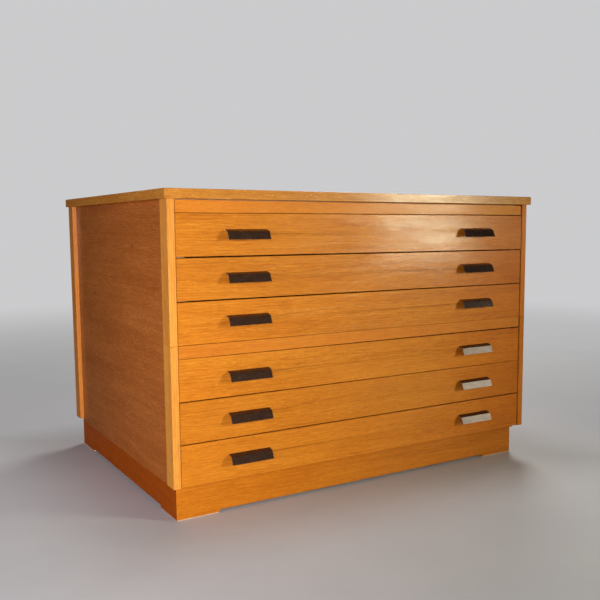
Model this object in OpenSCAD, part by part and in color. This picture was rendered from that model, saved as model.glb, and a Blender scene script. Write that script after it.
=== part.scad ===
// Flat file cabinet for drawings and prints: two three-drawer units stacked on a
// plinth under one top board. All sizes in millimetres. +Z is up, the front faces
// -Y, left is -X, and the origin is on the floor at the centre of the closed
// cabinet's box.

/* [Carcass] */
// Width over the outer faces of the corner posts
body_w = 1300; // [1260:5:1500]
// Depth from the front face of the front posts to the back of the rear posts
body_d = 1008; // [900:4:1100]
// Height of one three-drawer unit (post height)
unit_h = 388.5; // [380:0.1:440]
// Height of the corner posts' lower ends above the floor
post_foot_z = 104.2; // [96:0.1:120]
// Width of a post's front face
post_w = 21; // [18:0.5:28]
// Depth of a post's side face
post_d = 51.5; // [45:0.5:60]
// Radius on the posts' outer vertical edges
post_r = 1.6; // [0.8:0.2:3]
// How far the side panels sit in behind the posts' side faces
side_recess = 13.5; // [11:0.5:16]
// Side panel thickness
side_t = 16; // [16:0.5:19]
// How far a unit's side and floor panels drop below its posts
nest_drop = 10.2; // [8:0.1:12]
// Back panel thickness
back_t = 8; // [6:1:10]
// Set-in of the back panel's rear face
back_inset = 14; // [12:1:18]
// Height of the fixed front rail above each bank of drawers
rail_h = 36.4; // [32:0.4:48]
// Thickness of the front rails and the drawer fronts
front_t = 20; // [18:0.5:22]
// How far the rails and drawer fronts sit behind the posts' front faces
front_recess = 3; // [1:0.5:5]

/* [Top board] */
// Thickness of the top board
top_t = 26.6; // [22:0.2:32]
// Overhang at each side
top_over_side = 8.7; // [4:0.1:14]
// Overhang at the front
top_over_front = 11.3; // [6:0.1:14]
// Overhang at the back
top_over_back = 3; // [0:0.5:10]
// Width of the solid edge lipping
lip_w = 9; // [6:1:14]

/* [Drawers] */
// Side gap between a drawer front and the left posts
side_gap = 2.5; // [1.5:0.1:3.5]
// Side gap between a drawer front and the right posts
side_gap_right = 3.4; // [1.5:0.1:4.5]
// Gap between the upper rail and the right post
rail_gap_right = 4.6; // [0.8:0.1:5.5]
// Side gap at the right-hand end of drawer 1, which hangs closer to its post
side_gap_first = 0.9; // [0.8:0.1:3.5]
// How far the lowest drawer front drops below the posts' lower ends (less than 0: it stops above)
front_drop = -0.6; // [-2:0.1:4]
// Thickness of the drawer sides
box_side_t = 14; // [12:0.5:16]
// Thickness of the drawer backs
box_back_t = 14; // [12:0.5:16]
// Thickness of the drawer bottoms
box_floor_t = 6; // [4:0.5:8]
// Depth of a drawer box behind its front
box_d = 927; // [780:1:935]
// Running clearance between a drawer side and its runner
run_gap = 0.4; // [0.3:0.1:0.8]
// Height of a runner
runner_h = 12; // [10:1:16]
// Width of a runner
runner_w = 24.5; // [20:0.5:30]

/* [Drawer gaps] */
// Gap between the top board and the upper rail, at the left end
gap_0_left = 2.6; // [0:0.1:5]
// Gap between the top board and the upper rail, at the right end
gap_0_right = 3.7; // [0:0.1:5]
// Gap above drawer 1, at the left end
gap_1_left = 1.1; // [0.8:0.1:4.2]
// Gap above drawer 1, at the right end
gap_1_right = 2.8; // [0.8:0.1:4.2]
// Gap between drawers 1 and 2, at the left end
gap_2_left = 4.1; // [0.8:0.1:4.2]
// Gap between drawers 1 and 2, at the right end
gap_2_right = 3.7; // [0.8:0.1:4.2]
// Gap between drawers 2 and 3, at the left end
gap_3_left = 4.2; // [0.8:0.1:4.2]
// Gap between drawers 2 and 3, at the right end
gap_3_right = 3.0; // [0.8:0.1:4.2]
// Gap between drawer 3 and the lower rail, at the left end
gap_4_left = 1.3; // [0.8:0.1:4.2]
// Gap between drawer 3 and the lower rail, at the right end
gap_4_right = 0.4; // [0.4:0.1:4.2]
// Gap above drawer 4, at the left end
gap_5_left = 1.2; // [0.8:0.1:4.2]
// Gap above drawer 4, at the right end
gap_5_right = 4.0; // [0.8:0.1:4.2]
// Gap between drawers 4 and 5, at the left end
gap_6_left = 3.8; // [0.8:0.1:4.2]
// Gap between drawers 4 and 5, at the right end
gap_6_right = 1.3; // [0.8:0.1:4.2]
// Gap between drawers 5 and 6, at the left end
gap_7_left = 3.4; // [0.8:0.1:4.2]
// Gap between drawers 5 and 6, at the right end
gap_7_right = 4.0; // [0.8:0.1:4.2]

/* [Pulls] */
// Length of a pull
pull_len = 127.5; // [100:0.5:140]
// Height of a pull
pull_h = 27.5; // [22:0.5:34]
// How far the lip stands out from the drawer front
pull_reach = 25.5; // [20:0.5:28]
// Sheet thickness
pull_t = 2; // [1.5:0.1:2.5]
// Distance of a pull's centre from the cabinet's centreline
pull_x = 420; // [300:5:440]
// How far the whole row of pulls sits to the left of the middle
pull_shift = 1.8; // [-5:0.1:5]
// How far the upper unit's pulls sit above the middle of their drawers
pull_rise = 0.9; // [-3:0.1:4]
// Width of the two fixing tabs behind a pull
tab_w = 16; // [12:1:20]
// Distance from a pull's centre to its screws
screw_dx = 32; // [22:1:36]

/* [Plinth] */
// Set-in of the plinth's sides from the posts' side faces
plinth_in_side = 20.5; // [18:0.5:40]
// Set-back of the plinth's front
plinth_in_front = 39.7; // [30:0.1:80]
// Set-in of the plinth's back
plinth_in_back = 14.5; // [12:0.5:60]
// Thickness of the plinth boards
plinth_t = 20; // [18:1:24]
// Length of the foot left at each end of a plinth board
foot_len = 128; // [100:1:160]
// Clearance under the plinth between its feet
foot_gap = 8.8; // [6:0.1:14]
// Thickness of the glides under the feet
glide_t = 2; // [1.5:0.5:4]

/* [Hidden] */
$fn = 48;
overlap = 0.01; // between the parts of a post's section
overrun = 1;    // of a cutter past the face it cuts

// Carcass, across and from front to back
half_w = body_w / 2;
front_over = max(top_over_front, pull_reach - front_recess);
post_front_y = -(body_d + top_over_back - front_over) / 2;
post_back_y = post_front_y + body_d;
post_in_x = half_w - post_w;                // inner face of the posts
side_out_x = half_w - side_recess;          // outer face of the side panels
side_in_x = side_out_x - side_t;            // inner face of the side panels
face_y = post_front_y + front_recess;       // face of rails and drawer fronts
box_front_y = face_y + front_t;             // back of the drawer fronts
back_y = post_back_y - back_inset - back_t; // front face of the back panels
tongue_y = box_front_y + 4;                 // front edge of the side panels' tongues

// Levels
seam_z = post_foot_z + unit_h;              // seam between the units' posts
top_z = seam_z + unit_h;                    // underside of the top board
base_z = post_foot_z - nest_drop;           // lower edge of the lower unit's panels
joint_z = seam_z - nest_drop;               // seam between the units' panels
pitch = (unit_h - rail_h) / 3;              // drawer spacing

// Carcass details
post_inner_r = 0.8;       // round on a post's inner vertical edge
seam_ease_d = 3.4;        // depth of the V at the front posts' seam
seam_ease_h = 0.95;       // its height on one post, 1 mm ahead of the front face
rear_seam_gap = 0.02;
stretcher_w = 60;
stretcher_h = 16;
floor_drop = 0.3;         // top of a floor panel below the foot of its unit's posts
mitre_gap = 0.02;         // glue line at the lipping's mitres
hole_fit = 0.02;          // added to the radius of holes for dowels, and for screws in pulls

// Dowels between the side panels
dowel_r = 4;
dowel_len = 30;
dowel_hole_d = dowel_len / 2 + 0.5;
dowel_inset = 190;        // from the posts' front and back faces
dowel_x = side_in_x + side_t / 2;
dowel_y = [post_front_y + dowel_inset, post_back_y - dowel_inset];

// Top board's outer edges
top_x = half_w + top_over_side;
top_front_y = post_front_y - top_over_front;
top_back_y = post_back_y + top_over_back;

// Plinth's outer faces
plinth_x = half_w - plinth_in_side;
plinth_front_y = post_front_y + plinth_in_front;
plinth_back_y = post_back_y - plinth_in_back;
glide_inset = 1;          // of a glide from the faces of its foot

// Drawer boxes and runners
runner_drop = 1;                            // of a runner below its drawer's line
runner_front_gap = 0.2;
runner_back_gap = 1;
box_x = side_in_x - 1;                      // outer face of the drawer sides
box_in_x = box_x - box_side_t;              // inner face of the drawer sides
box_back_y = box_front_y + box_d;
box_lift = runner_h - runner_drop + run_gap; // drawer side's lower edge above the line
box_h = pitch - box_lift - 4;               // height of the drawer sides
back_step = 6;                              // drawer back's top below the sides' tops
groove_d = 6.5;                             // how far the bottoms enter their grooves
groove_play = 0.1;                          // clearance round a bottom in its groove
groove_z = 8;                               // groove above the sides' lower edge
groove_h = box_floor_t + 2 * groove_play;
bottom_x = box_in_x + groove_d;             // side edge of the drawer bottoms
groove_x = bottom_x + groove_play;          // side end of the grooves

// Pull screws
screw_r = 2;
screw_drop = 1;           // below the pull's middle
screw_front_fit = 0.25;   // added to the radius of the holes in the drawer fronts
screw_head_r = 4.2;
screw_head_h = 2.2;
screw_in_head = 1;        // how far the shank runs into the head

// Pull section: x is outwards from the drawer front, y is up from the pull's lower
// edge. The lines through these points run along the middle of the sheet.
tab_end = [pull_t / 2, 4];
tab_corner = [pull_t / 2, pull_h - pull_t / 2 + 0.2];
lip_corner = [pull_reach * 0.63 - pull_t / 2, pull_h * 0.79];
lip_end = [pull_reach - pull_t * 0.46, pull_t * 0.2];
tab_stop = 4;             // tab's sheet ends this far short of lip_corner
flange_start = 2;         // lip's sheet starts this far behind tab_corner
tab_bend_r = 1.6;
lip_bend_r = 2.4;
section_margin = 10;      // room around the section when it is trimmed at the front

// ---------------------------------------------------------------- helpers
// Box between two bounds on each axis
module block(x, y, z) {
  translate([x[0], y[0], z[0]]) cube([x[1] - x[0], y[1] - y[0], z[1] - z[0]]);
}

module both_sides() {
  for (s = [0, 1]) mirror([s, 0, 0]) children();
}

// Lower and upper edge of a unit's side and back panels
function panel_z(upper) = upper ? [joint_z, top_z] : [base_z, joint_z];

// Drawers are numbered k from the top: 1 to 3 in the upper unit, 4 to 6 in the lower.
function place_in_bank(k) = k <= 3 ? k : k - 3;
function line_z(k) = (k <= 3 ? seam_z : post_foot_z) + (3 - place_in_bank(k)) * pitch;
function box_z(k) = line_z(k) + box_lift;
function groove_span(k) = [box_z(k) + groove_z, box_z(k) + groove_z + groove_h];

// The gaps as [left end, right end], top to bottom. All but the first and the lowest
// are shared half and half by the boards above and below, so a board's edges run
// very slightly out of level.
gaps = [
  [gap_0_left, gap_0_right], [gap_1_left, gap_1_right],
  [gap_2_left, gap_2_right], [gap_3_left, gap_3_right],
  [gap_4_left, gap_4_right], [gap_5_left, gap_5_right],
  [gap_6_left, gap_6_right], [gap_7_left, gap_7_right]
];
function gap_above(k) = k <= 3 ? k : k + 1;
function level(z) = [z, z];
function front_low(k) =
  k == 6 ? level(line_z(k) - front_drop) : level(line_z(k)) + gaps[gap_above(k) + 1] / 2;
function front_high(k) = level(line_z(k) + pitch) - gaps[gap_above(k)] / 2;

// ---------------------------------------------------------------- carcass
// A corner post's section in the +X, +Y quarter: post_r rounds the corner at
// [0, 0] and post_inner_r the one at [post_w, 0].
module post_section() {
  union() {
    translate([post_r, 0]) square([post_w - post_r - post_inner_r, post_d]);
    translate([0, post_r]) square([post_r + overlap, post_d - post_r]);
    translate([post_w - post_inner_r - overlap, post_inner_r])
      square([post_inner_r + overlap, post_d - post_inner_r]);
    translate([post_r, post_r]) circle(post_r);
    translate([post_w - post_inner_r, post_inner_r]) circle(post_inner_r);
  }
}

// Left front post. The end at the seam is eased at the front, so the seam shows as
// a fine V across the front face only.
module front_post(upper) {
  up = upper ? 1 : -1;
  difference() {
    translate([-half_w, post_front_y, upper ? seam_z : post_foot_z])
      linear_extrude(unit_h) post_section();
    translate([-half_w - overrun, post_front_y, seam_z]) rotate([90, 0, 90])
      linear_extrude(post_w + 2 * overrun)
        polygon([[-overrun, -overrun * up], [seam_ease_d, 0], [-overrun, seam_ease_h * up]]);
  }
}

// Left rear post
module rear_post(z0, z1) {
  translate([-half_w, post_back_y, z0]) mirror([0, 1, 0])
    linear_extrude(z1 - z0) post_section();
}

// Left side panel: full thickness between the posts, with a thinner tongue lapped
// behind each post. Blind holes at the joint take the dowels.
module side_panel(upper) {
  z = panel_z(upper);
  difference() {
    union() {
      block([-side_out_x, -side_in_x], [post_front_y + post_d, post_back_y - post_d], z);
      block([-post_in_x, -side_in_x], [tongue_y, back_y], z);
    }
    for (y = dowel_y)
      translate([-dowel_x, y, joint_z - (upper ? overrun : dowel_hole_d)])
        cylinder(r = dowel_r + hole_fit, h = dowel_hole_d + overrun);
  }
}

// A board in the plane of the fronts, low and high being its edges' heights at the
// [left, right] ends
module front_board(right_gap, low, high) {
  left = -(post_in_x - side_gap);
  right = post_in_x - right_gap;
  translate([0, box_front_y, 0]) rotate([90, 0, 0]) linear_extrude(front_t)
    polygon([[left, low[0]], [right, low[1]], [right, high[1]], [left, high[0]]]);
}

// Rail below height z, trimmed at its upper and lower edges
module front_rail(z, trim_high, trim_low, right_gap) {
  front_board(right_gap, level(z - rail_h) + trim_low, level(z) - trim_high);
}

module back_panel(upper) {
  block([-post_in_x, post_in_x], [back_y, back_y + back_t], panel_z(upper));
}

module floor_panel(z) {
  block([-side_in_x, side_in_x], [plinth_front_y, back_y], [z, z + nest_drop - floor_drop]);
}

module top_board() {
  inner_x = top_x - lip_w;
  color([0.80, 0.52, 0.25])
    block([-inner_x, inner_x], [top_front_y + lip_w, top_back_y - lip_w], [top_z, top_z + top_t]);
}

module top_lipping() {
  long = top_x - mitre_gap;
  short = long - lip_w;
  color([0.86, 0.58, 0.28]) {
    // Front and back strips, as [outer edge, inner edge]
    for (y = [[top_front_y, top_front_y + lip_w], [top_back_y, top_back_y - lip_w]])
      translate([0, 0, top_z]) linear_extrude(top_t)
        polygon([[-long, y[0]], [long, y[0]], [short, y[1]], [-short, y[1]]]);
    both_sides() translate([0, 0, top_z]) linear_extrude(top_t)
      polygon([
        [-top_x, top_front_y + mitre_gap],
        [-top_x + lip_w, top_front_y + lip_w + mitre_gap],
        [-top_x + lip_w, top_back_y - lip_w - mitre_gap],
        [-top_x, top_back_y - mitre_gap]
      ]);
  }
}

module upper_side_left() { color([0.55, 0.30, 0.14]) side_panel(true); }
module upper_side_right() { color([0.55, 0.30, 0.14]) mirror([1, 0, 0]) side_panel(true); }
module lower_side_left() { color([0.55, 0.30, 0.14]) side_panel(false); }
module lower_side_right() { color([0.55, 0.30, 0.14]) mirror([1, 0, 0]) side_panel(false); }
module upper_front_post_left() { color([0.93, 0.66, 0.33]) front_post(true); }
module upper_front_post_right() { color([0.93, 0.66, 0.33]) mirror([1, 0, 0]) front_post(true); }
module lower_front_post_left() { color([0.93, 0.66, 0.33]) front_post(false); }
module lower_front_post_right() { color([0.93, 0.66, 0.33]) mirror([1, 0, 0]) front_post(false); }

module rear_posts() {
  color([0.90, 0.62, 0.30]) both_sides() {
    rear_post(post_foot_z, seam_z - rear_seam_gap);
    rear_post(seam_z, top_z);
  }
}

module upper_front_rail() {
  color([0.85, 0.52, 0.22]) front_rail(top_z, gaps[0], gaps[1] / 2, rail_gap_right);
}

module lower_front_rail() {
  color([0.85, 0.52, 0.22]) front_rail(seam_z, gaps[4] / 2, gaps[5] / 2, side_gap_right);
}

// A front and a rear stretcher at the top of each unit
module cross_stretchers() {
  color([0.80, 0.62, 0.40])
    for (z = [top_z, joint_z], y = [box_front_y, back_y - stretcher_w])
      block([-side_in_x, side_in_x], [y, y + stretcher_w], [z - stretcher_h, z]);
}

module upper_back_panel() { color([0.70, 0.50, 0.30]) back_panel(true); }
module lower_back_panel() { color([0.70, 0.50, 0.30]) back_panel(false); }
module upper_floor_panel() { color([0.75, 0.58, 0.36]) floor_panel(joint_z); }
module lower_floor_panel() { color([0.75, 0.58, 0.36]) floor_panel(base_z); }

// The lowest runners of each unit rest on its floor panel.
module drawer_runners() {
  color([0.72, 0.55, 0.34]) for (k = [1:6]) both_sides()
    block([-side_in_x, -(side_in_x - runner_w)],
          [box_front_y + runner_front_gap, back_y - runner_back_gap],
          [line_z(k) - (place_in_bank(k) == 3 ? floor_drop : runner_drop),
           line_z(k) + runner_h - runner_drop]);
}

module stacking_dowels() {
  color([0.85, 0.70, 0.48]) for (s = [-1, 1], y = dowel_y)
    translate([s * dowel_x, y, joint_z - dowel_len / 2]) cylinder(r = dowel_r, h = dowel_len);
}

// ---------------------------------------------------------------- plinth
// One mitred board along +X, outer face at y = 0, with a foot left at each end of
// its lower edge
module plinth_board(length) {
  difference() {
    translate([0, 0, glide_t]) linear_extrude(base_z - glide_t)
      polygon([[0, 0], [length, 0], [length - plinth_t, plinth_t], [plinth_t, plinth_t]]);
    block([foot_len, length - foot_len], [-overrun, plinth_t + overrun], [-overrun, foot_gap]);
  }
}

// Glide in the front left corner: an L under the two feet that meet there
module glide() {
  x = -plinth_x;
  y = plinth_front_y;
  long = [glide_inset, foot_len - glide_inset];
  wide = [glide_inset, plinth_t - glide_inset];
  union() {
    block(level(x) + long, level(y) + wide, [0, glide_t]);
    block(level(x) + wide, level(y) + long, [0, glide_t]);
  }
}

module plinth_front() {
  color([0.84, 0.50, 0.20])
    translate([-plinth_x, plinth_front_y, 0]) plinth_board(2 * plinth_x);
}

module plinth_back() {
  color([0.84, 0.50, 0.20])
    translate([plinth_x, plinth_back_y, 0]) rotate([0, 0, 180]) plinth_board(2 * plinth_x);
}

module plinth_sides() {
  length = plinth_back_y - plinth_front_y;
  color([0.55, 0.30, 0.14]) {
    translate([-plinth_x, plinth_back_y, 0]) rotate([0, 0, -90]) plinth_board(length);
    translate([plinth_x, plinth_front_y, 0]) rotate([0, 0, 90]) plinth_board(length);
  }
}

module foot_glides() {
  color([0.85, 0.80, 0.68]) both_sides() {
    glide();
    translate([0, plinth_front_y + plinth_back_y, 0]) mirror([0, 1, 0]) glide();
  }
}

// ---------------------------------------------------------------- pulls
// Each pull is bent sheet: a flange runs out from the drawer front and turns down
// into a slanting lip. Behind the lip two narrow tabs turn down from the flange
// against the drawer front, and take the screws.
function unit(v) = v / norm(v);
function turn(v, a) = [v[0] * cos(a) - v[1] * sin(a), v[0] * sin(a) + v[1] * cos(a)];
function left_of(v) = [-v[1], v[0]];
flange_dir = unit(lip_corner - tab_corner);

// [point, normal] stations from start to finish, with a right-hand bend of middle
// radius r at the corner
function bent_path(start, corner, finish, r, steps) =
  let (dir_in = unit(corner - start),
       dir_out = unit(finish - corner),
       angle = acos(dir_in * dir_out),
       centre = corner - dir_in * r * tan(angle / 2) - left_of(dir_in) * r)
  concat(
    [[start, left_of(dir_in)]],
    [for (i = [0:steps])
      let (normal = turn(left_of(dir_in), -angle * i / steps)) [centre + normal * r, normal]],
    [[finish, left_of(dir_out)]]
  );

// Sheet of thickness pull_t along a path
module sheet(path) {
  last = len(path) - 1;
  polygon(concat([for (i = [0:last]) path[i][0] + path[i][1] * pull_t / 2],
                 [for (i = [last:-1:0]) path[i][0] - path[i][1] * pull_t / 2]));
}

module pull_section(tab) {
  intersection() {
    union() {
      sheet(bent_path(tab_corner - flange_dir * flange_start, lip_corner, lip_end,
                      r = lip_bend_r, steps = 7));
      if (tab)
        sheet(bent_path(tab_end, tab_corner, lip_corner - flange_dir * tab_stop,
                        r = tab_bend_r, steps = 5));
    }
    translate([0, -section_margin])
      square([pull_reach + 2 * section_margin, pull_h + 2 * section_margin]);
  }
}

// Side is -1 for the left pull and 1 for the right; end is the same for its screws.
function pull_mid_x(side) = side * pull_x - pull_shift;
function pull_mid_z(k) = line_z(k) + pitch / 2 + (k <= 3 ? pull_rise : 0);

// Puts children at a screw's axis, starting at y, with their +Z towards the back
module at_screw(k, side, end, y) {
  translate([pull_mid_x(side) + end * screw_dx, y, pull_mid_z(k) - screw_drop])
    rotate([-90, 0, 0]) children();
}

// The pull's section run along X for a length centred on x
module pull_strip(k, x, length, tab) {
  translate([x - length / 2, face_y, pull_mid_z(k) - pull_h / 2]) rotate([90, 0, 90])
    linear_extrude(length) mirror([1, 0, 0]) pull_section(tab);
}

module pull(k, side) {
  difference() {
    union() {
      pull_strip(k, pull_mid_x(side), pull_len, false);
      for (end = [-1, 1])
        pull_strip(k, pull_mid_x(side) + end * screw_dx, tab_w, true);
    }
    for (end = [-1, 1]) at_screw(k, side, end, face_y - pull_t - overrun)
      cylinder(r = screw_r + hole_fit, h = pull_t + 2 * overrun);
  }
}

module drawer_pulls(k) {
  color([0.30, 0.22, 0.17]) for (side = [-1, 1]) pull(k, side);
}

// Screws run through the tab and the drawer front to a head on the inside.
module drawer_screws(k) {
  through = pull_t + front_t;
  color([0.75, 0.70, 0.60]) for (side = [-1, 1], end = [-1, 1])
    at_screw(k, side, end, face_y - pull_t) {
      cylinder(r = screw_r, h = through + screw_in_head);
      translate([0, 0, through]) cylinder(r = screw_head_r, h = screw_head_h);
    }
}

// ---------------------------------------------------------------- drawers
// Front, grooved for the bottom and drilled for the pull screws
module drawer_front(k) {
  color([0.86, 0.54, 0.22]) difference() {
    front_board(k == 1 ? side_gap_first : side_gap_right, front_low(k), front_high(k));
    block([-groove_x, groove_x],
          [box_front_y - groove_d - groove_play, box_front_y + overrun], groove_span(k));
    for (side = [-1, 1], end = [-1, 1]) at_screw(k, side, end, face_y - overrun)
      cylinder(r = screw_r + screw_front_fit, h = front_t + 2 * overrun);
  }
}

module drawer_sides(k) {
  color([0.80, 0.64, 0.42]) both_sides() difference() {
    block([-box_x, -box_in_x], [box_front_y, box_back_y], [box_z(k), box_z(k) + box_h]);
    block([-groove_x, -(box_in_x - overrun)],
          [box_front_y - overrun, box_back_y + overrun], groove_span(k));
  }
}

// Back, standing above the bottom between the sides
module drawer_back(k) {
  color([0.80, 0.64, 0.42])
    block([-box_in_x, box_in_x], [box_back_y - box_back_t, box_back_y],
          [groove_span(k)[1], box_z(k) + box_h - back_step]);
}

module drawer_bottom(k) {
  z = groove_span(k)[0] + groove_play;
  color([0.82, 0.68, 0.48])
    block([-bottom_x, bottom_x], [box_front_y - groove_d, box_back_y], [z, z + box_floor_t]);
}

top_board();
top_lipping();
upper_side_left();
upper_side_right();
lower_side_left();
lower_side_right();
upper_front_post_left();
upper_front_post_right();
lower_front_post_left();
lower_front_post_right();
rear_posts();
upper_front_rail();
lower_front_rail();
cross_stretchers();
upper_back_panel();
lower_back_panel();
upper_floor_panel();
lower_floor_panel();
drawer_runners();
stacking_dowels();
plinth_front();
plinth_back();
plinth_sides();
foot_glides();
drawer_front(1);  // drawer_1_front
drawer_sides(1);  // drawer_1_sides
drawer_back(1);  // drawer_1_back
drawer_bottom(1);  // drawer_1_bottom
drawer_pulls(1);  // drawer_1_pulls
drawer_screws(1);  // drawer_1_screws
drawer_front(2);  // drawer_2_front
drawer_sides(2);  // drawer_2_sides
drawer_back(2);  // drawer_2_back
drawer_bottom(2);  // drawer_2_bottom
drawer_pulls(2);  // drawer_2_pulls
drawer_screws(2);  // drawer_2_screws
drawer_front(3);  // drawer_3_front
drawer_sides(3);  // drawer_3_sides
drawer_back(3);  // drawer_3_back
drawer_bottom(3);  // drawer_3_bottom
drawer_pulls(3);  // drawer_3_pulls
drawer_screws(3);  // drawer_3_screws
drawer_front(4);  // drawer_4_front
drawer_sides(4);  // drawer_4_sides
drawer_back(4);  // drawer_4_back
drawer_bottom(4);  // drawer_4_bottom
drawer_pulls(4);  // drawer_4_pulls
drawer_screws(4);  // drawer_4_screws
drawer_front(5);  // drawer_5_front
drawer_sides(5);  // drawer_5_sides
drawer_back(5);  // drawer_5_back
drawer_bottom(5);  // drawer_5_bottom
drawer_pulls(5);  // drawer_5_pulls
drawer_screws(5);  // drawer_5_screws
drawer_front(6);  // drawer_6_front
drawer_sides(6);  // drawer_6_sides
drawer_back(6);  // drawer_6_back
drawer_bottom(6);  // drawer_6_bottom
drawer_pulls(6);  // drawer_6_pulls
drawer_screws(6);  // drawer_6_screws
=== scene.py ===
# Flat file cabinet: an upper and a lower section on a plinth, with six drawers.
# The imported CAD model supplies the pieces; this script gives each one its procedural material and
# small edge radii, then sets up the studio. Metres; +X is right, -Y is the front, +Z is up.
import math

import bpy
from mathutils import Matrix, Vector


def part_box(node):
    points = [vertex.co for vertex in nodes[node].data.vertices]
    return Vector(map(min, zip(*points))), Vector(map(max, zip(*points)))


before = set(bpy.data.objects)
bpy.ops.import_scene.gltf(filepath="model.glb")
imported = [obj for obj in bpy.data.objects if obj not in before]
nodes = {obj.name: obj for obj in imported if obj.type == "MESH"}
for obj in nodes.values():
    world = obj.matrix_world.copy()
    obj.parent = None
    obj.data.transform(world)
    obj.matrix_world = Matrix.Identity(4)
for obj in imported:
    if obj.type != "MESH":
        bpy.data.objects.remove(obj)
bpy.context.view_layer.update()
scene = bpy.context.scene


# ------------------------------------------------------------------ node trees
class Tree:
    """Short names for building the node tree of a material or a world."""

    def __init__(self, owner):
        self.owner = owner
        owner.use_nodes = True
        self.tree = owner.node_tree
        self.tree.nodes.clear()
        self.geometry = None

    def node(self, kind, inputs=None, **props):
        """A node; inputs maps its sockets to values or to other nodes' outputs."""
        made = self.tree.nodes.new(kind)
        for key, value in props.items():
            setattr(made, key, value)
        for key, value in (inputs or {}).items():
            socket = made.inputs[key]
            if isinstance(value, bpy.types.NodeSocket):
                self.tree.links.new(value, socket)
            elif value is not None:
                socket.default_value = (*value, 1.0) if socket.type == "RGBA" else value
        return made

    def math(self, operation, a, b=None, clamp=False):
        made = self.node("ShaderNodeMath", {0: a, 1: b}, operation=operation, use_clamp=clamp)
        return made.outputs[0]

    def add(self, a, b):
        return self.math("ADD", a, b)

    def sub(self, a, b):
        return self.math("SUBTRACT", a, b)

    def mul(self, a, b):
        return self.math("MULTIPLY", a, b)

    def centred(self, value):
        return self.sub(value, 0.5)

    def split(self, vector):
        return self.node("ShaderNodeSeparateXYZ", {0: vector}).outputs

    def place(self):
        return self.node("ShaderNodeTexCoord").outputs["Object"]

    def normal_xyz(self):
        return self.split(self.node("ShaderNodeNewGeometry").outputs["Normal"])

    def scaled(self, coords, scales):
        parts = {i: self.mul(c, scale) for i, (c, scale) in enumerate(zip(coords, scales))}
        return self.node("ShaderNodeCombineXYZ", parts).outputs[0]

    def noise(self, vector, detail=2.0, rough=0.5):
        sockets = {"Vector": vector, "Scale": 1.0, "Detail": detail, "Roughness": rough}
        return self.node("ShaderNodeTexNoise", sockets, noise_dimensions="3D").outputs[0]

    def speckle(self, place, scale, detail):
        """Even noise, scale in changes per metre."""
        mapping = self.node("ShaderNodeMapping", {"Vector": place, "Scale": (scale,) * 3})
        return self.noise(mapping.outputs[0], detail, rough=0.6)

    def span(self, value, start, end, low=0.0, high=1.0, smooth=False):
        """Maps start..end onto low..high, held at both ends."""
        sockets = {"Value": value, "From Min": start, "From Max": end, "To Min": low, "To Max": high}
        curve = "SMOOTHSTEP" if smooth else "LINEAR"
        made = self.node("ShaderNodeMapRange", sockets, clamp=True, interpolation_type=curve)
        return made.outputs[0]

    def mix(self, share, a, b, mode="MIX"):
        made = self.node("ShaderNodeMix", {0: share}, data_type="RGBA", blend_type=mode)
        made.clamp_result = False
        for key, color in ((6, a), (7, b)):
            if isinstance(color, bpy.types.NodeSocket):
                self.tree.links.new(color, made.inputs[key])
            else:
                made.inputs[key].default_value = (*color, 1.0)
        return made.outputs[2]

    def tint(self, color, by):
        return self.mix(1.0, color, by, "MULTIPLY")

    def mix_value(self, share, a, b):
        return self.node("ShaderNodeMix", {0: share, 2: a, 3: b}, data_type="FLOAT").outputs[0]

    def ramp(self, value, stops):
        made = self.node("ShaderNodeValToRGB", {0: value})
        elements = made.color_ramp.elements
        while len(elements) < len(stops):
            elements.new(0.5)
        for element, (position, color) in zip(elements, stops):
            element.position = position
            element.color = (*color, 1.0)
        return made.outputs[0]

    def flat(self):
        """The normal of the face itself, from one shared node."""
        if self.geometry is None:
            self.geometry = self.node("ShaderNodeNewGeometry")
        return self.geometry.outputs["True Normal"]

    def bump(self, height, depth, strength, normal=None):
        sockets = {"Height": height, "Distance": depth, "Strength": strength,
                   "Normal": normal or self.flat()}
        return self.node("ShaderNodeBump", sockets).outputs[0]

    def edge(self, radius):
        """About 0 on flat faces and rising to 1 close to an outside or inside edge."""
        bevel = self.node("ShaderNodeBevel", {"Radius": radius, "Normal": self.flat()}, samples=4)
        dot = self.node("ShaderNodeVectorMath", {0: bevel.outputs[0], 1: self.flat()},
                        operation="DOT_PRODUCT")
        return self.span(dot.outputs["Value"], start=0.995, end=0.80)

    def output(self, shader, kind="ShaderNodeOutputMaterial"):
        self.node(kind, {0: shader.outputs[0]})
        return self.owner

    def finish(self, color, rough, normal, metallic=0.0, coat=0.0, coat_rough=0.2, spec=0.5,
               aniso=0.0, coat_ior=1.5):
        return self.output(self.node("ShaderNodeBsdfPrincipled", {
            "Base Color": color, "Roughness": rough, "Metallic": metallic,
            "Specular IOR Level": spec, "Coat Weight": coat, "Coat Roughness": coat_rough,
            "Coat IOR": coat_ior, "Anisotropic": aniso, "Normal": normal, "Coat Normal": normal}))


def new_material(name):
    return Tree(bpy.data.materials.new(name))


# ------------------------------------------------------------------ wood
# Noise layers: changes per metre along the grain, changes per metre across it, detail, roughness.
STRAIGHT = {
    "slow": (0.9, 4.5, 1.0, 0.5), "middle": (4.5, 14.0, 1.5, 0.5), "quick": (17.0, 42.0, 1.0, 0.5),
    "blotch": (5.0, 15.0, 3.0, 0.6), "drift": (1.7, 3.1, 1.0, 0.5), "mark": (14.0, 90.0, 2.0, 0.5),
    "wear": (16.0, 60.0, 3.0, 0.6), "smear": (4.0, 7.0, 3.0, 0.6),
    "ripple": (22.0, 55.0, 2.0, 0.55), "swell": (3.0, 9.0, 1.0, 0.5),
    "film": (7.0, 26.0, 3.0, 0.65), "film_gloss": (6.0, 18.0, 2.0, 0.5),
}
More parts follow.
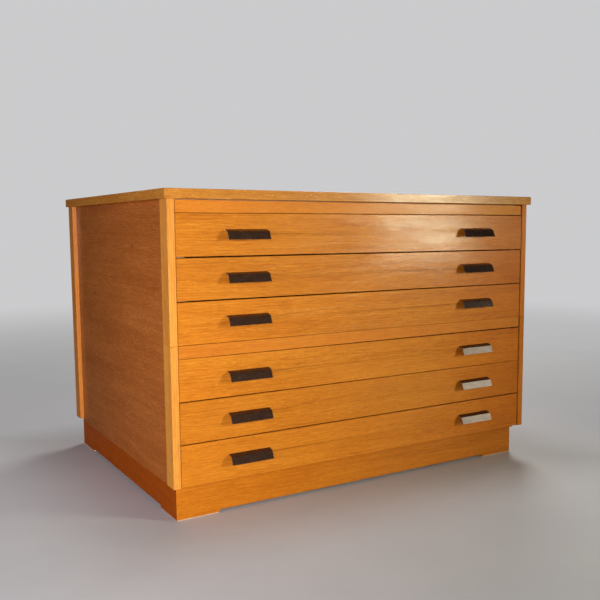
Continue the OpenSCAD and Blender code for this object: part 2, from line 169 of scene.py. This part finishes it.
# The same columns, for layers that follow the wandering grain.
WAVY = {
    "broad": (0.9, 15.0, 2.0, 0.55), "ring": (2.6, 120.0, 2.5, 0.6),
    "line": (21.0, 400.0, 3.0, 0.62), "fine": (42.0, 1150.0, 2.0, 0.6),
    "pore": (62.0, 1500.0, 1.0, 0.5), "fleck": (66.0, 260.0, 1.0, 0.4),
    "fleck_area": (5.0, 22.0, 2.0, 0.5), "film_line": (24.0, 420.0, 2.0, 0.6),
}
WANDER = (0.046, 0.011, 0.0026)  # sideways reach of the slow, middle and quick bends
FIGURE_RATE = 131.0  # regular growth lines per metre
WOOD_SPEC = 0.11


class Grain:
    """Coordinates along the grain and twice across it, and the noise layers laid in them."""

    def __init__(self, t, axis, seed, wave, border):
        self.t = t
        x, y, z = t.split(t.place())
        if border is None:
            coords = {"X": (x, z, y), "Y": (y, z, x), "Z": (z, x, y)}[axis]
        else:
            # lipping: the pieces at the two ends run front to back, mitred into the long ones
            half_width, front, back = border
            from_end = t.sub(half_width, t.math("ABSOLUTE", x))
            from_long = t.math("MINIMUM", t.sub(y, front), t.sub(back, y))
            at_end = t.math("LESS_THAN", from_end, from_long)
            coords = (t.mix_value(at_end, x, y), t.mix_value(at_end, y, x), z)
        offsets = (seed * 1.37 + 0.31, seed * 2.713 + 0.17, seed * 0.731 + 0.53)
        self.coords = [t.add(c, offset) for c, offset in zip(coords, offsets)]
        bends = [t.centred(self.straight(name)) for name in ("slow", "middle", "quick")]
        self.slow = bends[0]
        self.across = self.coords[1]
        for bend, reach in zip(bends, WANDER):
            self.across = t.add(self.across, t.mul(bend, reach * wave))

    def layer(self, coords, settings, stretch=1.0):
        along, across, detail, rough = settings
        scales = (along / stretch, across, across)
        return self.t.noise(self.t.scaled(coords, scales), detail, rough)

    def straight(self, name):
        return self.layer(self.coords, STRAIGHT[name])

    def wavy(self, name, stretch=1.0):
        along, _, depth = self.coords
        return self.layer((along, self.across, depth), WAVY[name], stretch)


def ply_edges(t, grain, face_color, colors, ply):
    """Plywood: the edge shows thin plies crossing the thickness.
    ply is the axis through the thickness, where it starts, and light and dark pairs per metre."""
    dark, mid, light = colors
    axis, start, pairs = ply
    on_face = t.span(t.math("ABSOLUTE", t.normal_xyz()[axis]), start=0.5, end=0.7)
    depth = t.split(t.place())[axis]
    phase = t.math("FRACT", t.mul(t.sub(depth, start), pairs))
    dark_ply = t.span(t.math("ABSOLUTE", t.centred(phase)), start=0.22, end=0.28)
    edge_color = t.mix(dark_ply, t.mix(0.35, light, mid), t.mix(0.5, mid, dark))
    speck = t.noise(t.scaled(grain.coords, (300, 300, 300)))
    edge_color = t.mix(t.span(speck, start=0.4, end=0.7, high=0.35), edge_color, dark)
    return t.mix(on_face, edge_color, face_color)


def dark_marks(t, grain, color, dark, strength):
    """Scattered dark spots, drawn out along the grain."""
    cells = t.node("ShaderNodeTexVoronoi", {
        "Vector": t.scaled(grain.coords, (3.4, 9.0, 2.0)), "Scale": 1.0}, feature="F1")
    spot = t.span(cells.outputs["Distance"], start=0.085, end=0.05)
    spot = t.mul(spot, t.span(grain.straight("mark"), start=0.42, end=0.58))
    deep = (dark[0] * 0.35, dark[1] * 0.35, dark[2] * 0.5)
    return t.mix(t.mul(spot, strength), color, deep)


def lacquer_film(t, grain, pore, coat, coat_rough):
    """Uneven coat weight, thin over the pores, and its roughness."""
    film = t.span(grain.straight("film"), start=0.32, end=0.66, low=0.62, high=1.18)
    lines = t.span(grain.wavy("film_line"), start=0.36, end=0.62, low=0.72, high=1.12)
    film = t.mul(t.mul(film, lines), t.sub(1.0, t.mul(pore, 0.55)))
    gloss = t.span(grain.straight("film_gloss"), start=0.35, end=0.65,
                   low=coat_rough * 0.85, high=coat_rough * 1.35)
    return t.mul(film, coat), gloss


def oak(name, axis, seed, colors, bands=0.25, lines=0.36, streaks=0.44, fibre=0.36, pores=0.35,
        flecks=0.5, fleck_len=1.0, rough=0.42, coat=0.25, coat_rough=0.11, wear=0.25, wave=1.0,
        marks=0.0, ply=None, border=None, tint=None, fade=None):
    """Wood with its lacquer: fine streaks along the grain, dark pores, growth bands, pale ray
    flecks and a slow change of tone, with a bump from the open pores."""
    t = new_material(name)
    dark, mid, light = colors
    grain = Grain(t, axis, seed, wave, border)
    ring = grain.wavy("ring")
    figure = t.math("SINE", t.add(t.mul(grain.across, 2 * math.pi * FIGURE_RATE),
                                  t.mul(grain.slow, 9.0)))
    line = grain.wavy("line")
    fine = grain.wavy("fine")
    pore = t.mul(t.span(grain.wavy("pore"), start=0.58, end=0.70),
                 t.span(ring, start=0.42, end=0.60))
    fleck = t.mul(t.span(grain.wavy("fleck", fleck_len), start=0.60, end=0.68, smooth=True),
                  t.span(grain.wavy("fleck_area"), start=0.36, end=0.60))

    # the tone is a sum of weighted layers around the middle of the ramp
    tone = 0.5
    for part, weight in (
            (t.centred(grain.wavy("broad")), bands * 1.6),
            (t.centred(ring), lines * 1.6),
            (figure, lines * 0.10),
            (t.centred(line), streaks * 2.0),
            (t.centred(fine), fibre * 1.6),
            (t.centred(grain.straight("blotch")), 0.24)):
        tone = t.add(tone, t.mul(part, weight))
    tone = t.sub(tone, t.mul(pore, pores))
    tone = t.math("ADD", tone, t.mul(fleck, flecks * 0.36), clamp=True)
    color = t.ramp(tone, [(0.08, dark), (0.50, mid), (0.94, light)])

    # a slow drift between a redder and a yellower lacquer
    drift = t.span(grain.straight("drift"), start=0.35, end=0.68, high=0.28)
    color = t.mix(drift, color, t.tint(color, (1.03, 0.90, 0.72)))
    if marks:
        color = dark_marks(t, grain, color, dark, marks)
    worn = t.mul(t.edge(radius=0.0016), t.span(grain.straight("wear"), start=0.36, end=0.66))
    if wear:
        bare = tuple(min(1, c * gain) for c, gain in zip(light, (1.10, 1.22, 1.5)))
        color = t.mix(t.mul(worn, wear), color, bare)
    if ply is not None:
        color = ply_edges(t, grain, color, colors, ply)
    if tint is not None:
        color = t.tint(color, tint)
    if fade is not None:
        # painted shade: the tone darkens toward one end
        start, end, painted_shade_tint, fade_axis = fade
        far = t.add(t.split(t.place())[fade_axis], t.mul(grain.slow, 0.25))
        color = t.mix(t.span(far, start, end), color, t.tint(color, painted_shade_tint))

    # lacquer: smoother on flecks, drier in the pores and where hands have rubbed it
    gloss = t.add(rough - 0.05, t.mul(grain.straight("smear"), 0.10))
    gloss = t.add(gloss, t.mul(pore, 0.16))
    gloss = t.sub(gloss, t.mul(fleck, 0.05))
    gloss = t.add(gloss, t.mul(worn, 0.10))
    height = t.sub(t.add(t.mul(line, 0.35), t.mul(fine, 0.25)), t.mul(pore, 0.9))
    normal = t.bump(height, depth=0.00012, strength=0.6)
    normal = t.bump(grain.straight("ripple"), depth=0.0006, strength=0.35, normal=normal)
    normal = t.bump(grain.straight("swell"), depth=0.0016, strength=0.30, normal=normal)
    if coat:
        coat, coat_rough = lacquer_film(t, grain, pore, coat, coat_rough)
    return t.finish(color, gloss, normal, coat=coat, coat_rough=coat_rough, spec=WOOD_SPEC)


# ------------------------------------------------------------------ metal and nylon
def bronze(name, seed):
    """Brown patinated brass sheet, brushed along its length, rubbed brighter on its edges."""
    t = new_material(name)
    x, y, z = t.split(t.place())
    coords = (t.add(x, seed * 0.913), y, z)
    brush = t.noise(t.scaled(coords, (14.0, 2600.0, 2600.0)), detail=3.0, rough=0.65)
    blotch = t.noise(t.scaled(coords, (38.0, 90.0, 90.0)), detail=4.0, rough=0.62)
    thumb = t.noise(t.scaled(coords, (22.0, 30.0, 30.0)))
    color = t.ramp(t.add(t.mul(blotch, 0.7), t.mul(brush, 0.3)), [
        (0.30, (0.062, 0.031, 0.015)), (0.52, (0.092, 0.046, 0.022)), (0.74, (0.130, 0.072, 0.038))])
    # painted shade: the upward-facing flange on top is darkened against the lip, as it catches less
    # light
    shaded_flange = t.span(t.normal_xyz()[2], start=0.45, end=0.80)
    color = t.mix(shaded_flange, color, t.tint(color, (0.74, 0.68, 0.70)))
    rubbed = t.mul(t.edge(radius=0.0009), t.span(blotch, start=0.35, end=0.62, low=0.25, high=0.85))
    color = t.mix(rubbed, color, (0.60, 0.46, 0.30))
    smudge = t.span(thumb, start=0.4, end=0.7, high=0.08)
    rough = t.add(0.18, t.add(t.mul(brush, 0.14), smudge))
    normal = t.bump(brush, depth=0.00004, strength=0.7)
    normal = t.bump(blotch, depth=0.00008, strength=0.3, normal=normal)
    patches = t.add(t.mul(blotch, 0.5), t.mul(brush, 0.5))
    film = t.mul(t.sub(1.0, shaded_flange), t.span(patches, start=0.36, end=0.60, low=0.70, high=1.0))
    return t.finish(color, rough, normal, metallic=0.35, coat=film, coat_rough=0.15, aniso=0.45,
                    spec=0.35, coat_ior=2.25)


def steel(name):
    t = new_material(name)
    speck = t.speckle(t.place(), scale=900, detail=3.0)
    color = t.ramp(speck, [(0.35, (0.42, 0.40, 0.36)), (0.65, (0.70, 0.68, 0.62))])
    rough = t.span(speck, start=0.3, end=0.7, low=0.28, high=0.48)
    return t.finish(color, rough, t.bump(speck, depth=0.00003, strength=0.5), metallic=1.0)


def nylon(name):
    t = new_material(name)
    speck = t.speckle(t.place(), scale=260, detail=4.0)
    color = t.ramp(speck, [
        (0.30, (0.44, 0.33, 0.19)), (0.60, (0.66, 0.54, 0.36)), (0.80, (0.74, 0.64, 0.46))])
    rough = t.span(speck, start=0.3, end=0.7, low=0.45, high=0.62)
    return t.finish(color, rough, t.bump(speck, depth=0.0001, strength=0.4), spec=0.4)


# ------------------------------------------------------------------ colours and grains
# Dark, middle and light tone of each wood, linear.
HONEY = ((0.3384, 0.0925, 0.005), (0.5656, 0.1849, 0.0112), (0.7272, 0.292, 0.0252))
RAIL = ((0.4165, 0.118, 0.0084), (0.6088, 0.2029, 0.0175), (0.7475, 0.2999, 0.0348))
POST = ((0.479, 0.1742, 0.0233), (0.708, 0.3001, 0.0459), (0.8539, 0.4064, 0.0769))
REAR = ((0.4215, 0.1376, 0.0205), (0.623, 0.2371, 0.0404), (0.7514, 0.3211, 0.0677))
POST_UPPER_RIGHT = ((0.4317, 0.116, 0.0079), (0.626, 0.192, 0.0147), (0.7771, 0.2922, 0.0304))
POST_LOWER_RIGHT = ((0.3956, 0.1044, 0.0083), (0.5737, 0.1727, 0.0154), (0.7122, 0.2628, 0.0317))
LIP = ((0.3419, 0.1106, 0.0114), (0.5386, 0.2136, 0.0273), (0.7666, 0.3575, 0.0667))
SIDE = ((0.2943, 0.0774, 0.0116), (0.4504, 0.136, 0.0234), (0.6155, 0.2292, 0.0536))
TOP = ((0.3638, 0.1111, 0.0097), (0.5953, 0.2173, 0.0235), (0.7718, 0.3284, 0.0485))
PLINTH = ((0.3095, 0.0787, 0.0029), (0.5068, 0.1523, 0.007), (0.6721, 0.242, 0.0153))
PLINTH_SIDE = ((0.2372, 0.0423, 0.0001), (0.4015, 0.0778, 0.0003), (0.5316, 0.1298, 0.0005))
BEECH = ((0.430, 0.250, 0.110), (0.590, 0.390, 0.200), (0.700, 0.510, 0.300))
BIRCH = ((0.500, 0.325, 0.155), (0.660, 0.475, 0.265), (0.760, 0.590, 0.370))
STAIN = ((0.190, 0.085, 0.030), (0.330, 0.165, 0.060), (0.450, 0.250, 0.105))
DRAWER_TONES = (1.0, 0.97, 1.03, 1.0, 0.96, 1.02)  # brightness of fronts 1 to 6

# Painted shade fades: start, end, tint at the far end, axis number.
# the drawer fronts get painted shade, darker and redder toward the right end
FRONT_PAINTED_SHADE = (0.20, 0.60, (0.97, 0.80, 0.70), 0)
# the side panels get painted shade, darker toward the rear posts
SIDE_PAINTED_SHADE = (-0.15, 0.42, (0.80, 0.82, 0.90), 1)

# Settings of oak() shared by several pieces.
SIDE_GRAIN = dict(bands=0.40, streaks=0.50, flecks=1.15, fleck_len=0.8, rough=0.38, coat=0.18,
                  coat_rough=0.20, wear=0.1, marks=0.5, fade=SIDE_PAINTED_SHADE)
POST_GRAIN = dict(bands=0.2, lines=0.4, flecks=0.3, wear=0.3)
RAIL_GRAIN = dict(bands=0.15, lines=0.22, streaks=0.4, flecks=0.4, coat=0.16)
DRAWER_GRAIN = dict(lines=0.25, pores=0.2, fleck_len=0.25, rough=0.55, coat=0.0, wear=0.15)
PLY_GRAIN = dict(lines=0.35, streaks=0.25, flecks=0.1, coat=0.0, wave=3.0)
BIRCH_GRAIN = dict(PLY_GRAIN, bands=0.5, pores=0.0, wear=0.0)


def give(node, material):
    slots = nodes[node].data.materials
    slots.clear()
    slots.append(material)


def wood(node, name, axis, seed, colors, **grain):
    give(node, oak(name, axis, seed, colors, **grain))


def plywood(node, name, seed, colors, axis, pairs, **grain):
    """A panel whose plies are stacked along the given axis number."""
    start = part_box(node)[0][axis]
    wood(node, name, "X", seed, colors, ply=(axis, start, pairs), **grain)


# ------------------------------------------------------------------ materials of the pieces
def dress_top():
    low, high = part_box("top_lipping")
    wood("top_board", "oak_top", "X", 3.0, TOP, bands=0.5, lines=0.45, flecks=0.6, coat=0.2,
         coat_rough=0.22, wear=0.0, wave=1.6)
    wood("top_lipping", "oak_lipping", "X", 5.0, LIP, bands=0.15, lines=0.35, streaks=0.5,
         fibre=0.5, flecks=1.2, fleck_len=0.45, rough=0.38, coat=0.38, coat_rough=0.13, wear=0.5,
         border=(high.x, low.y, high.y))


def dress_carcase():
    # section, seed of its left post, colours of its left and right posts
    sections = (("upper", 21.0, (POST, POST_UPPER_RIGHT)), ("lower", 24.0, (POST, POST_LOWER_RIGHT)))
    for i, side in enumerate(("left", "right")):
        for level, _, _ in sections:
            wood(f"{level}_side_{side}", f"oak_side_{level[0]}{side[0]}", "Y", 11.0 + i, SIDE,
                 **SIDE_GRAIN)
        for level, seed, colors in sections:
            wood(f"{level}_front_post_{side}", f"oak_post_{level[0]}{side[0]}", "Z", seed + i,
                 colors[i], rough=0.40, **POST_GRAIN)
    wood("rear_posts", "oak_post_rear", "Z", 29.0, REAR, **POST_GRAIN)
    wood("upper_front_rail", "oak_rail_u", "X", 31.0, RAIL, tint=(1.03, 1.05, 1.08), **RAIL_GRAIN)
    wood("lower_front_rail", "oak_rail_l", "X", 32.0, RAIL, tint=(0.96, 0.91, 0.86), **RAIL_GRAIN)


def dress_drawers():
    for k, tone in enumerate(DRAWER_TONES, 1):
        drawer = f"drawer_{k}"
        honey = tuple(tuple(min(1.0, c * tone) for c in color) for color in HONEY)
        wood(f"{drawer}_front", f"oak_front_{k}", "X", 40.0 + 1.7 * k, honey, fade=FRONT_PAINTED_SHADE)
        wood(f"{drawer}_sides", f"beech_sides_{k}", "Y", 60.0 + k, BEECH, **DRAWER_GRAIN)
        wood(f"{drawer}_back", f"beech_back_{k}", "X", 70.0 + k, BEECH, **DRAWER_GRAIN)
        plywood(f"{drawer}_bottom", f"birch_bottom_{k}", 80.0 + k, BIRCH, axis=2, pairs=250.0,
                rough=0.58, **BIRCH_GRAIN)
        give(f"{drawer}_pulls", bronze(f"bronze_{k}", float(k)))
    screw = steel("zinc_screw")
    for k in range(1, 7):
        give(f"drawer_{k}_screws", screw)


def dress_inside_and_base():
    for node, seed in (("upper_back_panel", 91.0), ("lower_back_panel", 92.0)):
        plywood(node, f"stained_{node}", seed, STAIN, axis=1, pairs=190.0, bands=0.6, pores=0.1,
                rough=0.62, wear=0.1, **PLY_GRAIN)
    for node, seed in (("upper_floor_panel", 93.0), ("lower_floor_panel", 94.0)):
        plywood(node, f"birch_{node}", seed, BIRCH, axis=2, pairs=200.0, rough=0.6, **BIRCH_GRAIN)
    wood("cross_stretchers", "beech_stretchers", "X", 95.0, BEECH, fleck_len=0.25, rough=0.6,
         coat=0.0)
    wood("drawer_runners", "beech_runners", "Y", 96.0, BEECH, fleck_len=0.25, rough=0.45, coat=0.1)
    wood("stacking_dowels", "beech_dowels", "Z", 97.0, BEECH, flecks=0.3, rough=0.6, coat=0.0)
    wood("plinth_front", "oak_plinth_front", "X", 101.0, PLINTH, flecks=0.4)
    wood("plinth_back", "oak_plinth_back", "X", 102.0, PLINTH, flecks=0.4)
    wood("plinth_sides", "oak_plinth_sides", "Y", 103.0, PLINTH_SIDE, flecks=0.4)
    give("foot_glides", nylon("glide_nylon"))


dress_top()
dress_carcase()
dress_drawers()
dress_inside_and_base()

# ------------------------------------------------------------------ small edge radii
USUAL_RADIUS = 0.0006
RADII = {"top_board": 0.0, "top_lipping": 0.0012, "foot_glides": 0.0004, "drawer_runners": 0.0008}


def edge_radius(node):
    in_drawer = node.startswith("drawer")
    if node.endswith(("_screws", "_pulls")):
        return 0.0003
    if node.endswith("_rail") or (in_drawer and node.endswith("_front")):
        return 0.0005
    if in_drawer and node.endswith("_sides"):
        return 0.0012
    return RADII.get(node, USUAL_RADIUS)


def soften(node, radius):
    modifiers = nodes[node].modifiers
    weld = modifiers.new("weld", "WELD")
    weld.merge_threshold = 1e-5
    bevel = modifiers.new("edge", "BEVEL")
    bevel.width = radius
    bevel.segments = 2
    bevel.limit_method = "ANGLE"
    bevel.angle_limit = math.radians(40)
    bevel.use_clamp_overlap = True
    bevel.harden_normals = False
    normals = modifiers.new("normals", "WEIGHTED_NORMAL")
    normals.mode = "FACE_AREA"
    normals.weight = 100
    normals.keep_sharp = True


for node in nodes:
    radius = edge_radius(node)
    if radius:
        soften(node, radius)

# ------------------------------------------------------------------ floor and world
BACKDROP = (0.60, 0.60, 0.61)
FLOOR_RADIUS = 14.0
NEAR_X, NEAR_Y = 0.63, 0.47  # half sizes of the floor area that keeps its own shading
WORLD_DIFFUSE, WORLD_GLOSS = 0.03, 0.025  # world strength for diffuse and for glossy rays


def floor_material():
    t = new_material("floor_plain")
    place = t.place()
    speck = t.speckle(place, scale=3, detail=5.0)
    color = t.ramp(speck, [(0.3, (0.545, 0.545, 0.548)), (0.7, (0.600, 0.598, 0.592))])
    # darker to bounced light than to the camera, darkest in reflections
    rays = t.node("ShaderNodeLightPath").outputs
    color = t.mix(rays["Is Camera Ray"], (0.30, 0.30, 0.31), color)
    color = t.mix(rays["Is Glossy Ray"], color, (0.10, 0.10, 0.11))
    surface = t.node("ShaderNodeBsdfPrincipled", {
        "Base Color": color, "Roughness": 0.55, "Specular IOR Level": 0.35})
    glow = t.node("ShaderNodeEmission", {"Color": BACKDROP, "Strength": 1.0})
    # the floor keeps its own shading under and beside the cabinet and evens out into the
    # backdrop away from it
    distance = t.node("ShaderNodeVectorMath", {0: place}, operation="LENGTH").outputs["Value"]
    x, y, _ = t.split(place)
    outside = t.math("MAXIMUM", t.sub(t.math("ABSOLUTE", x), NEAR_X),
                     t.sub(t.math("ABSOLUTE", y), NEAR_Y))
    share = t.add(t.span(outside, start=-0.01, end=0.42, high=0.34, smooth=True),
                  t.span(distance, start=1.2, end=6.5, high=0.66, smooth=True))
    far = t.mul(share, rays["Is Camera Ray"])
    return t.output(t.node("ShaderNodeMixShader", {
        0: far, 1: surface.outputs[0], 2: glow.outputs[0]}))


def build_world():
    """Faint warm light; the camera sees the backdrop instead."""
    scene.world = bpy.data.worlds.new("studio")
    t = Tree(scene.world)
    rays = t.node("ShaderNodeLightPath").outputs
    strength = t.node("ShaderNodeMath", {
        0: rays["Is Glossy Ray"], 1: WORLD_GLOSS - WORLD_DIFFUSE, 2: WORLD_DIFFUSE},
        operation="MULTIPLY_ADD")
    light = t.node("ShaderNodeBackground", {0: (1.0, 0.86, 0.84), 1: strength.outputs[0]})
    seen = t.node("ShaderNodeBackground", {0: BACKDROP, 1: 1.0})
    both = t.node("ShaderNodeMixShader", {
        0: rays["Is Camera Ray"], 1: light.outputs[0], 2: seen.outputs[0]})
    t.output(both, "ShaderNodeOutputWorld")


bpy.ops.mesh.primitive_circle_add(
    vertices=96, radius=FLOOR_RADIUS, fill_type="NGON", location=(0, 0, 0))
floor = bpy.context.object
floor.name = "floor"
floor.data.materials.append(floor_material())
build_world()


# ------------------------------------------------------------------ lights
def area(name, at, to, width, power, color, height=None, spread=180):
    """A rectangular light aimed at a point; power in watts, spread in degrees."""
    light = bpy.data.lights.new(name, "AREA")
    light.shape = "RECTANGLE"
    light.size = width
    light.size_y = height or width
    light.energy = power
    light.spread = math.radians(spread)
    light.color = color
    lamp = bpy.data.objects.new(name, light)
    scene.collection.objects.link(lamp)
    lamp.location = at
    lamp.rotation_euler = (Vector(to) - Vector(at)).to_track_quat("-Z", "Y").to_euler()
    return lamp


key = area("key_right", at=(2.5, -3.4, 1.03), to=(-0.956, -0.5, 0.5), width=0.66, height=1.0,
           power=12.0, color=(1.0, 1.0, 0.72), spread=60)
area("card_right", at=(3.5, -3.4, 2.02), to=(0.42, -0.5, 0.3), width=0.7, height=1.05,
     power=6.6, color=(1.0, 0.84, 0.62))
area("fill_camera", at=(-1.75, -2.9, 0.8), to=(-1.15, -0.49, 0.45), width=0.6,
     power=13.4, color=(1.0, 0.92, 1.04), spread=70)
area("fill_left", at=(-2.6, -1.2, 0.8), to=(-0.66, -0.1, 0.45), width=0.8,
     power=14.0, color=(1.0, 0.92, 0.9))
area("rear_left", at=(-2.4, 1.6, 1.2), to=(-0.65, 0.45, 0.5), width=0.6,
     power=1.5, color=(1.0, 0.85, 0.7))
area("high_rear", at=(2.6, 2.4, 3.0), to=(0, 0, 0.4), width=1.6,
     power=90.0, color=(1.0, 0.98, 0.95))

# the narrow key would burn out in the pulls, so only the other lights reach them
shaded = bpy.data.collections.new("not_lit_by_key")
key.light_linking.receiver_collection = shaded
for k in range(1, 7):
    shaded.objects.link(nodes[f"drawer_{k}_pulls"])
for item in shaded.collection_objects:
    item.light_linking.link_state = "EXCLUDE"

# ------------------------------------------------------------------ camera
CAMERA_AT = (-1.37931, -2.46584, 0.80609)
YAW = math.radians(32.5954)  # from +Y toward +X
PITCH = math.radians(-6.3382)
ROLL = math.radians(-0.1556)

lens = bpy.data.cameras.new("camera")
lens.sensor_width = 36.0
lens.lens = 47.290422
lens.shift_x = -0.0668
lens.shift_y = 0.0245
lens.clip_start = 0.05
lens.clip_end = 100.0
camera = bpy.data.objects.new("camera", lens)
scene.collection.objects.link(camera)
ahead = Vector((math.sin(YAW) * math.cos(PITCH), math.cos(YAW) * math.cos(PITCH), math.sin(PITCH)))
level_right = Vector((math.cos(YAW), -math.sin(YAW), 0.0))
level_up = level_right.cross(ahead)
right = math.cos(ROLL) * level_right + math.sin(ROLL) * level_up
up = -math.sin(ROLL) * level_right + math.cos(ROLL) * level_up
rows = [(right[i], up[i], -ahead[i], CAMERA_AT[i]) for i in range(3)]
camera.matrix_world = Matrix((*rows, (0, 0, 0, 1)))
scene.camera = camera

scene.view_settings.view_transform = "Standard"
scene.view_settings.look = "None"
scene.view_settings.exposure = 0.0
